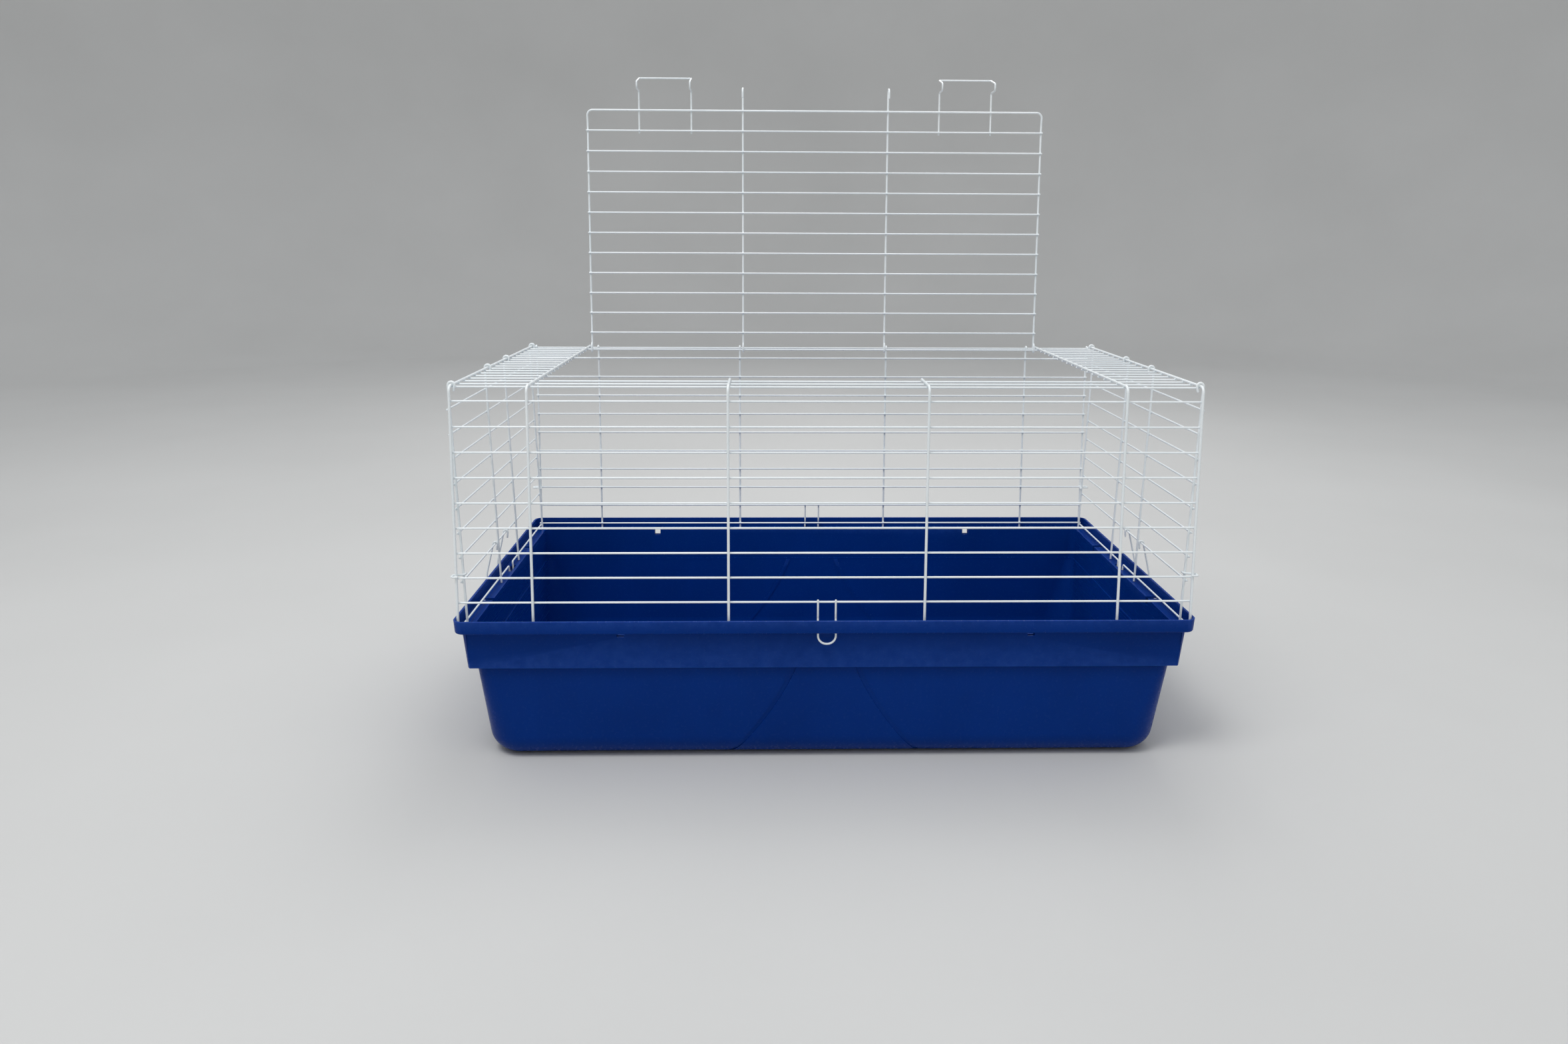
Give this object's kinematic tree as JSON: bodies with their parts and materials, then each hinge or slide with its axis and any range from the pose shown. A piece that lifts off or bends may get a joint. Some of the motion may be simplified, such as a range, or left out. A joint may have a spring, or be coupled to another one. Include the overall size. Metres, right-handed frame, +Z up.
{
  "type": "wire rabbit cage",
  "caption": "Low wire cage top with a hinged roof lid and side latches, standing in the rim of a deep flared plastic tray, for a rabbit or other small livestock",
  "frame": {"origin": "centre of the bounding box footprint, on the surface the tray stands on", "axes": "+X along the long side, to the right as seen from the front, +Y from front to back, +Z up"},
  "size_m": [1.0094, 0.53, 0.9809],
  "materials": {
    "tray_plastic": "glossy moulded polypropylene",
    "coated_wire": "white baked coating on steel wire"
  },
  "bodies": {
    "base_tray": {"tray": "tray_plastic"},
    "wire_top": {"front_roof_wire_1": "coated_wire", "front_roof_wire_2": "coated_wire", "front_roof_wire_3": "coated_wire", "front_roof_wire_4": "coated_wire", "front_roof_wire_5": "coated_wire", "front_roof_wire_6": "coated_wire", "front_cross_wires": "coated_wire", "roof_front_cross_wires": "coated_wire", "roof_right_cross_wires": "coated_wire", "roof_left_cross_wires": "coated_wire", "lid_hinge_wire": "coated_wire", "roof_rear_wire": "coated_wire", "front_floor_clip": "coated_wire", "back_upright_1": "coated_wire", "back_upright_2": "coated_wire", "back_upright_3": "coated_wire", "back_upright_4": "coated_wire", "back_upright_5": "coated_wire", "back_upright_6": "coated_wire", "back_cross_wires": "coated_wire", "back_floor_clip": "coated_wire", "right_end_cross_wires": "coated_wire", "right_end_bottom_wire": "coated_wire", "right_end_corner_hooks": "coated_wire", "right_end_upright_1": "coated_wire", "right_end_upright_2": "coated_wire", "right_end_upright_3": "coated_wire", "right_end_upright_4": "coated_wire", "left_end_cross_wires": "coated_wire", "left_end_bottom_wire": "coated_wire", "left_end_corner_hooks": "coated_wire", "left_end_upright_1": "coated_wire", "left_end_upright_2": "coated_wire", "left_end_upright_3": "coated_wire", "left_end_upright_4": "coated_wire"},
    "roof_lid": {"lid_frame": "coated_wire", "lid_upright_right": "coated_wire", "lid_upright_left": "coated_wire", "lid_cross_wires": "coated_wire", "lid_clasp_right": "coated_wire", "lid_clasp_left": "coated_wire"},
    "left_latch": {"left_bail": "coated_wire"},
    "right_latch": {"right_bail": "coated_wire"}
  },
  "joints": [
    {"name": "wire_top_lift", "type": "slide", "parent": "base_tray", "child": "wire_top", "axis": [0, 0, 1], "range_m": [0, 0.3]},
    {"name": "lid_hinge", "type": "hinge", "parent": "wire_top", "child": "roof_lid", "pos_m": [0, 0.2215, 0.521], "axis": [1, 0, 0], "range_deg": [-75, 87.5]},
    {"name": "left_latch_hinge", "type": "hinge", "parent": "wire_top", "child": "left_latch", "pos_m": [-0.48948, -0.0335, 0.2577], "axis": [0, 1, 0], "range_deg": [0, 140]},
    {"name": "right_latch_hinge", "type": "hinge", "parent": "wire_top", "child": "right_latch", "pos_m": [0.48948, -0.0335, 0.2577], "axis": [0, -1, 0], "range_deg": [0, 140]}
  ]
}
